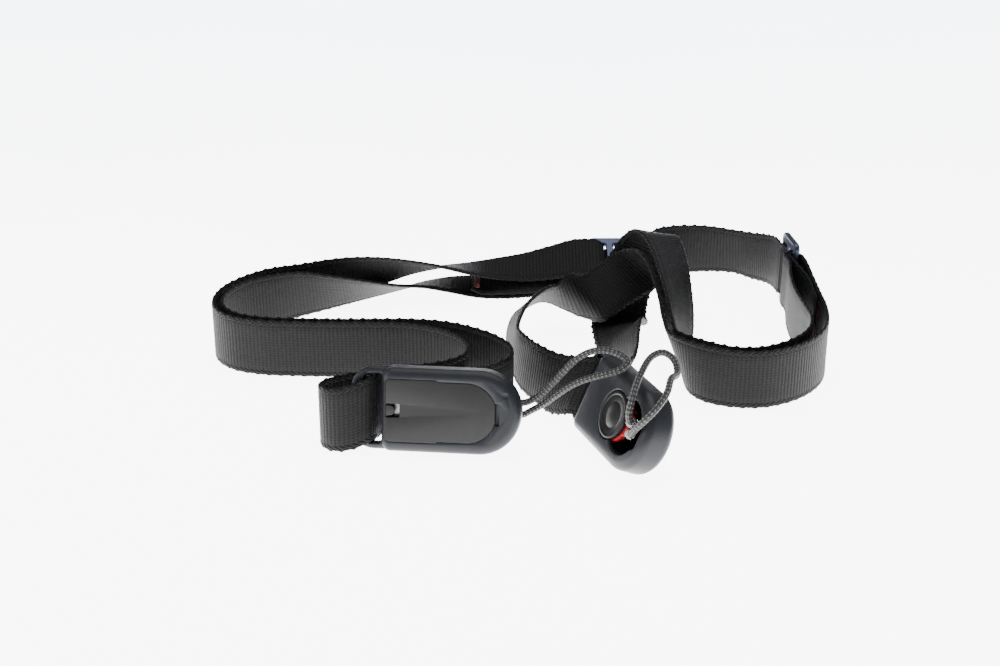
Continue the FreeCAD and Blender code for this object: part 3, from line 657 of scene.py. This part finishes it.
def ring_outline():
    """The thin end: round corners outside, and square where it runs into the deep part."""
    out = [(-9.0, -HALF_WIDE + 1.2), (-9.0, HALF_WIDE - 1.2), (-12.4, HALF_WIDE - 0.02)]
    for cy, first in ((HALF_WIDE - 7.02, 90), (-HALF_WIDE + 7.02, 180)):
        for k in range(13):
            a = math.radians(first + 90 * k / 12)
            out.append((-HALF_LONG + 7 + 7 * math.cos(a), cy + 7 * math.sin(a)))
    return out + [(-12.4, -HALF_WIDE + 0.02)]


def cover_outline(grow):
    """The back cover's D shape, with a small shoulder on each side."""
    wide, narrow, step = 9.2 + grow, 8.75 + grow, 0.5
    tip = 17.6 + grow
    out = [(min(9.3 + narrow * math.cos(math.radians(a)), tip), narrow * math.sin(math.radians(a)))
           for a in range(-90, 91, 3) if not 6 < abs(a) < 18 and abs(a) != 0]
    out += [(step + 0.5, narrow), (step, wide), (-13.4 - grow, wide), (-14.2 - grow, wide - 0.8),
            (-14.2 - grow, -wide + 0.8), (-13.4 - grow, -wide), (step, -wide), (step + 0.5, -narrow)]
    return out


def moulding_material(name, dark, light, rough):
    m = Nodes(name)
    place = m.object_place()
    fine = m.noise(place, 3800.0, 2.0)
    broad = m.noise(place, 240.0, 3.0)
    m.link(m.mix(broad, dark, light), m.shader.inputs["Base Color"])
    m.bump(fine, 0.00003, 0.5)
    m.link(m.math("ADD", m.math("MULTIPLY", fine, 0.12), rough), m.shader.inputs["Roughness"])
    m.set(Specular_IOR_Level=0.2)
    return m.material


HOUSING_GREYS = (0.008, 0.009, 0.011, 1), (0.012, 0.0132, 0.016, 1)
housing_plastic = moulding_material("housing_plastic", *HOUSING_GREYS, 0.34)


def housing(side, seat):
    body = plate("connector_housing_" + side, stadium(-15.5, 2.8), -HALF_DEEP, HALF_DEEP, 2.55, 2.55, 8)
    ring = plate("ring_part", ring_outline(), -1.87, 1.87, 1.5, 1.5)
    combine(body, ring, "UNION")
    slot_profile = [(-0.7, -2.0), (-0.6, -1.9), (-0.2, -1.6), (0, -1.1),
                    (0, 1.1), (-0.2, 1.6), (-0.6, 1.9), (-0.7, 2.0)]
    # webbing slot, cover recess, notch and dimple on the back
    cut(body, stacked("tool", rounded_box(-20.8, -15.6, -10.2, 10.2, 1.4), slot_profile))
    cut(body, plate("tool", cover_outline(0.12), -5.2, -3.55))
    cut(body, plate("tool", rounded_box(17.3, 18.9, -3.3, 3.3, 0.3), -5.2, -3.9))
    cut(body, plate("tool", circle(20.7, -5.6, 0.85, 24), -5.2, -4.62))
    # room for the anchor's flange, and for the leaf spring under it
    cut(body, plate("tool", rounded_box(-12.4, 20.5, -8.1, 8.1, 7.7, 10), -2.6, 3.4))
    cut(body, plate("tool", rounded_box(-12.3, 15.6, -8.0, 8.0, 5.0, 10), -3.6, -2.5))
    # keyhole: the well, the wide window, and room for the tab
    well_flare = [(0.0, 3.3), (0.0, 4.2), (-0.12, 4.55), (-0.5, 4.85), (-0.6, 5.3)]
    cut(body, stacked("tool", circle(4.5, 0, 7.25), well_flare))
    cut(body, stacked("tool", rounded_box(4.9, 20.5, -8.1, 8.1, 7.7, 12), well_flare))
    tab_flare = [(0, -1.0), (0, 4.2), (-0.2, 4.55), (-0.7, 4.9), (-0.8, 5.3)]
    cut(body, stacked("tool", rounded_box(12.4, 21.2, -4.0, 4.0, 1.6), tab_flare))
    soften(body, 0.14)
    body.data.transform(seat.matrix())
    dress(body, housing_plastic, "link_" + side)
    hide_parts("link_housing_" + side)


for side, seat in SEATS.items():
    housing(side, seat)


# ================================================================ back covers
# A thin D-shaped moulding clipped flush into each housing's back. A small window near the webbing end
# shows the tapered peg that the leaf spring is heat-staked on.
COVER_GREYS = (0.008, 0.008, 0.0078, 1), (0.012, 0.012, 0.0117, 1)
cover_plastic = moulding_material("cover_plastic", *COVER_GREYS, 0.44)
for side, seat in SEATS.items():
    cover = plate("back_cover_" + side, cover_outline(0.0), -HALF_DEEP, -3.65, 0.22, 0.1, 3)
    window_flare = [(-0.15, -5.0), (-0.1, -4.75), (0, -4.6), (0, -3.0)]
    cut(cover, stacked("tool", rounded_box(-14.0, -10.0, -2.0, 2.0, 0.4), window_flare))
    soften(cover, 0.06)
    cover.data.transform(seat.matrix())
    dress(cover, cover_plastic, "link_" + side)
    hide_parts("link_cover_" + side)
    outline = [(-14.1, -1.7), (-12.2, -1.3), (-11.6, -0.8), (-11.4, 0), (-11.6, 0.8), (-12.2, 1.3),
               (-14.1, 1.7)]
    peg = plate("cover_peg_" + side, outline, -4.6, -3.3, 0.15, 0.0, 3)
    soften(peg, 0.08)
    peg.data.transform(seat.matrix())
    dress(peg, cover_plastic, "link_" + side)


# ================================================================ leaf springs
# A stamped stainless leaf under each anchor. It lies along the floor of the housing and rises under
# the anchor, and its root is heat-staked on the peg.
def steel_material():
    m = Nodes("spring_steel")
    place = m.object_place()
    grain = m.noise(place, 2200.0, 3.0)
    m.link(m.mix(grain, (0.20, 0.20, 0.21, 1), (0.32, 0.32, 0.33, 1)), m.shader.inputs["Base Color"])
    m.bump(grain, 0.00001, 0.3)
    m.set(Metallic=1.0, Roughness=0.34)
    return m.material


steel = steel_material()
for side in SEATS:
    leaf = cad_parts["link_spring_" + side]
    leaf.data.materials.clear()
    leaf.data.materials.append(steel)


# ================================================================ anchors
# Each anchor is a red core with a flange and a tab, capped by a black disc. The disc is pressed on, and the
# cord's two ends leave the tab through short clear sleeves.
ANCHOR_X = 4.5


def lathe(name, profile, steps=72):
    """Closed solid of revolution about the local third axis, at the anchor's place."""
    points = []
    for r, z in profile:
        for k in range(steps):
            a = 2 * math.pi * k / steps
            points.append(Vector((ANCHOR_X + r * math.cos(a), r * math.sin(a), z)))
    obj = mesh_object(name, points, skin(len(profile), steps))
    outward(obj)
    obj.data.set_sharp_from_angle(angle=math.radians(35))
    return obj


cap_black = moulding_material("cap_black", (0.005, 0.005, 0.0055, 1), (0.009, 0.009, 0.0095, 1), 0.3)
core_red = moulding_material("core_red", (0.20, 0.005, 0.009, 1), (0.27, 0.008, 0.012, 1), 0.34)
CAP = [
    (6.6, 3.36), (6.9, 3.42), (7.0, 3.6), (7.0, 4.5), (6.9, 4.72), (6.65, 4.84), (6.3, 4.84),
    (6.05, 4.72), (5.85, 4.56), (4.1, 4.54), (3.95, 4.44), (3.75, 4.44), (3.6, 4.54), (0.3, 4.55),
]
FLANGE = [
    (7.1, 1.76), (7.45, 1.86), (7.6, 2.1), (7.6, 3.0), (7.45, 3.24), (7.1, 3.34), (0.3, 3.34),
]
for side, seat in SEATS.items():
    cap = lathe("anchor_disc_" + side, CAP)
    cap.data.transform(seat.matrix())
    dress(cap, cap_black, "anchor_" + side)
    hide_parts("anchor_cap_" + side)
    core = lathe("anchor_core_" + side, FLANGE)
    tab = plate("tab_part", rounded_box(4.5, 12.9, -3.3, 3.3, 1.3), 1.76, 3.34, 0.4, 0.4)
    combine(core, tab, "UNION")
    shade(core, 35)
    core.data.transform(seat.matrix())
    dress(core, core_red, "anchor_" + side)
    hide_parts("anchor_base_" + side)


# ================================================================ anchor cords
# A 2 mm braided polyester loop on each anchor, dark grey with pale flecks. It leaves the tab through
# one clear sleeve, comes back through the other, and stands up by its own stiffness. Routes are in metres.
CORD_A = [
    (-0.011, -0.063, 0.0135), (-0.0073, -0.062, 0.0134), (-0.0033, -0.0602, 0.0129),
    (0.0009, -0.0601, 0.0124), (0.0047, -0.0607, 0.0146), (0.0088, -0.0617, 0.0192),
    (0.0127, -0.0625, 0.0244), (0.0168, -0.0627, 0.0288), (0.0222, -0.0629, 0.0309),
    (0.0274, -0.0633, 0.0299), (0.031, -0.0645, 0.0277), (0.029, -0.0667, 0.0263),
    (0.0254, -0.0665, 0.0249), (0.0204, -0.0659, 0.0234), (0.0154, -0.0651, 0.0212),
    (0.011, -0.0635, 0.0174), (0.0068, -0.0617, 0.0131), (0.0028, -0.0605, 0.0102),
    (0.0002, -0.0606, 0.0087), (-0.0036, -0.0611, 0.009), (-0.0074, -0.0629, 0.0097),
    (-0.0111, -0.0637, 0.0103),
]
CORD_B = [
    (0.0313, -0.0794, 0.015), (0.0303, -0.0817, 0.0159), (0.0292, -0.0829, 0.0194),
    (0.0303, -0.0819, 0.0238), (0.0318, -0.0784, 0.0274), (0.0344, -0.0729, 0.0301),
    (0.0366, -0.0687, 0.0312), (0.0402, -0.0669, 0.0319), (0.0436, -0.0681, 0.0296),
    (0.044, -0.0719, 0.0264), (0.0409, -0.0801, 0.0296), (0.0397, -0.0855, 0.0274),
    (0.0367, -0.0889, 0.0244), (0.0333, -0.0899, 0.0211), (0.0308, -0.0876, 0.0172),
    (0.0301, -0.0837, 0.0133), (0.03005, -0.0797, 0.0121),
]
CORD_RADIUS = 1.0
STRANDS = 4
BRAID_CLIMB = 2.6
SLEEVE_RADIUS = 1.4
SLEEVE_LENGTH = 3.4


def route_line(name, points):
    """Points along the smooth line that the route's points steer, in metres."""
    curve = bpy.data.curves.new(name, "CURVE")
    curve.dimensions = "3D"
    curve.resolution_u = 24
    spline = curve.splines.new("NURBS")
    spline.points.add(len(points) - 1)
    for point, place in zip(spline.points, points):
        point.co = (*place, 1.0)
    spline.order_u = 3
    spline.use_endpoint_u = True
    holder = bpy.data.objects.new(name, curve)
    bpy.context.scene.collection.objects.link(holder)
    graph = bpy.context.evaluated_depsgraph_get()
    mesh = bpy.data.meshes.new_from_object(holder.evaluated_get(graph))
    line = [v.co.copy() for v in mesh.vertices]
    bpy.data.objects.remove(holder)
    bpy.data.meshes.remove(mesh)
    return line


def braided(name, line):
    """Tube whose surface carries crossing strands, with its round and its length kept for the colour."""
    sides = 20
    points, uvs = [], []
    normal = Vector((0.1, 0.25, 1)).normalized()
    run = 0.0
    for i, p in enumerate(line):
        along = (line[min(i + 1, len(line) - 1)] - line[max(i - 1, 0)]).normalized()
        normal = (normal - along * normal.dot(along)).normalized()
        side = along.cross(normal)
        if i:
            run += (p - line[i - 1]).length / MM
        for k in range(sides):
            a = 2 * math.pi * k / sides
            turn, climb = STRANDS * a, run * BRAID_CLIMB
            weave = math.sin(turn + climb) * math.sin(turn - climb)
            out = (normal * math.cos(a) + side * math.sin(a)) * CORD_RADIUS
            points.append(p / MM + out * (0.97 + 0.05 * weave))
            uvs.append((k / sides, run))
    obj = mesh_object(name, points, skin(len(line), sides))
    mark_surface(obj, "braid", uvs)
    outward(obj)
    return obj, run


def cord_material():
    m = Nodes("braided_cord")
    uv = m.add("UVMap", uv_map="braid")
    parts = m.add("SeparateXYZ")
    m.link(uv.outputs[0], parts.inputs[0])
    turn = m.math("MULTIPLY", parts.outputs[0], 2 * math.pi * STRANDS)
    run = m.math("MULTIPLY", parts.outputs[1], BRAID_CLIMB)
    one = m.math("SINE", m.math("ADD", turn, run))
    two = m.math("SINE", m.math("SUBTRACT", turn, run))
    weave = m.math("MULTIPLY", one, two)
    place = m.object_place()
    grain = m.noise(place, 3000.0, 3.0)
    fleck = m.math("GREATER_THAN", m.math("ADD", weave, m.math("MULTIPLY", grain, 0.9)), 1.18)
    dark = m.mix(grain, (0.003, 0.003, 0.0033, 1), (0.022, 0.022, 0.023, 1))
    m.link(m.mix(fleck, dark, (0.15, 0.15, 0.145, 1)), m.shader.inputs["Base Color"])
    m.bump(m.math("ADD", weave, grain), 0.0001, 0.8)
    m.set(Roughness=0.6, Sheen_Weight=0.1, Specular_IOR_Level=0.3)
    return m.material


def sleeve_material():
    m = Nodes("clear_sleeve")
    place = m.object_place()
    haze = m.noise(place, 900.0, 2.0)
    m.link(m.mix(haze, (0.86, 0.84, 0.80, 1), (0.95, 0.94, 0.92, 1)), m.shader.inputs["Base Color"])
    m.set(Roughness=0.22, Transmission_Weight=0.75, IOR=1.45)
    return m.material


cord_cloth = cord_material()
sleeve_clear = sleeve_material()
for side, route in (("a", CORD_A), ("b", CORD_B)):
    line = route_line("route_" + side, route)
    cord, length = braided("cord_loop_" + side, line)
    dress(cord, cord_cloth, "anchor_" + side)
    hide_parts("anchor_cord_" + side)
    for end, part in (("out", line), ("back", line[::-1])):
        run, first = 0.0, [part[0] / MM]
        for a, b in zip(part, part[1:]):
            run += (b - a).length / MM
            if run > SLEEVE_LENGTH:
                break
            first.append(b / MM)
        start = first[0] - (first[1] - first[0]).normalized() * 0.3
        sleeve = many_tubes("cord_sleeve_%s_%s" % (side, end), [[start] + first[1:]], SLEEVE_RADIUS, 28)
        dress(sleeve, sleeve_clear, "anchor_" + side)


# ================================================================ floor, light and camera
# A luminous white table, lit from below, with a large soft panel above it and a smaller one at the left.
# The strap lies loose on it, nothing is fixed.
def table_material():
    m = Nodes("light_table")
    place = m.object_place()
    parts = m.add("SeparateXYZ")
    m.link(place, parts.inputs[0])
    # painted shade: the glow and base colour fade from white to a bluish grey towards the back of the
    # table, in a soft blotchy spread, standing in for the light falling off there
    back = m.add("MapRange")
    m.link(parts.outputs[1], back.inputs[0])
    for socket, value in zip(back.inputs[1:5], (0.0, 0.55, 0.0, 1.0)):
        socket.default_value = value
    haze = m.noise(place, 3.0, 1.0)
    share = m.math("MULTIPLY", back.outputs[0], m.math("ADD", haze, 0.5))
    glow = m.mix(share, (1.0, 1.0, 1.0, 1), (0.80, 0.84, 0.90, 1))
    m.link(glow, m.shader.inputs["Emission Color"])
    m.link(glow, m.shader.inputs["Base Color"])
    m.set(Emission_Strength=7.5, Roughness=0.6)
    return m.material


TABLE_HALF = 1500
TABLE_TOP = -0.05
TABLE_THICK = 20
table_shape = rounded_box(-TABLE_HALF, TABLE_HALF, -TABLE_HALF, TABLE_HALF, 30)
table = plate("light_table", table_shape, TABLE_TOP - TABLE_THICK, TABLE_TOP)
table.data.materials.append(table_material())


def panel(name, place, size, power):
    """A soft rectangular light that faces the middle of the strap."""
    data = bpy.data.lights.new(name, "AREA")
    data.shape = "RECTANGLE"
    data.size, data.size_y = size
    data.energy = power
    lamp = bpy.data.objects.new(name, data)
    lamp.location = place
    lamp.rotation_euler = (-Vector(place)).to_track_quat("-Z", "Y").to_euler()
    bpy.context.scene.collection.objects.link(lamp)


panel("top_panel", (0.1, 0.15, 0.9), (0.9, 0.9), 9.0)
panel("left_panel", (-0.8, -0.25, 0.5), (0.5, 0.6), 4.0)
world = bpy.data.worlds.new("studio")
world.use_nodes = True
sky = world.node_tree.nodes["Background"]
sky.inputs["Color"].default_value = (0.93, 0.95, 1.0, 1)
sky.inputs["Strength"].default_value = 0.35
bpy.context.scene.world = world

camera_data = bpy.data.cameras.new("view")
camera_data.lens = 53.35
camera_data.sensor_width = 36.0
camera_data.clip_start = 0.01
camera = bpy.data.objects.new("view", camera_data)
camera.location = (vec(-4, -460, 194) + ORIGIN) * MM
camera.rotation_euler = (math.radians(68), 0, 0)
bpy.context.scene.collection.objects.link(camera)
bpy.context.scene.camera = camera
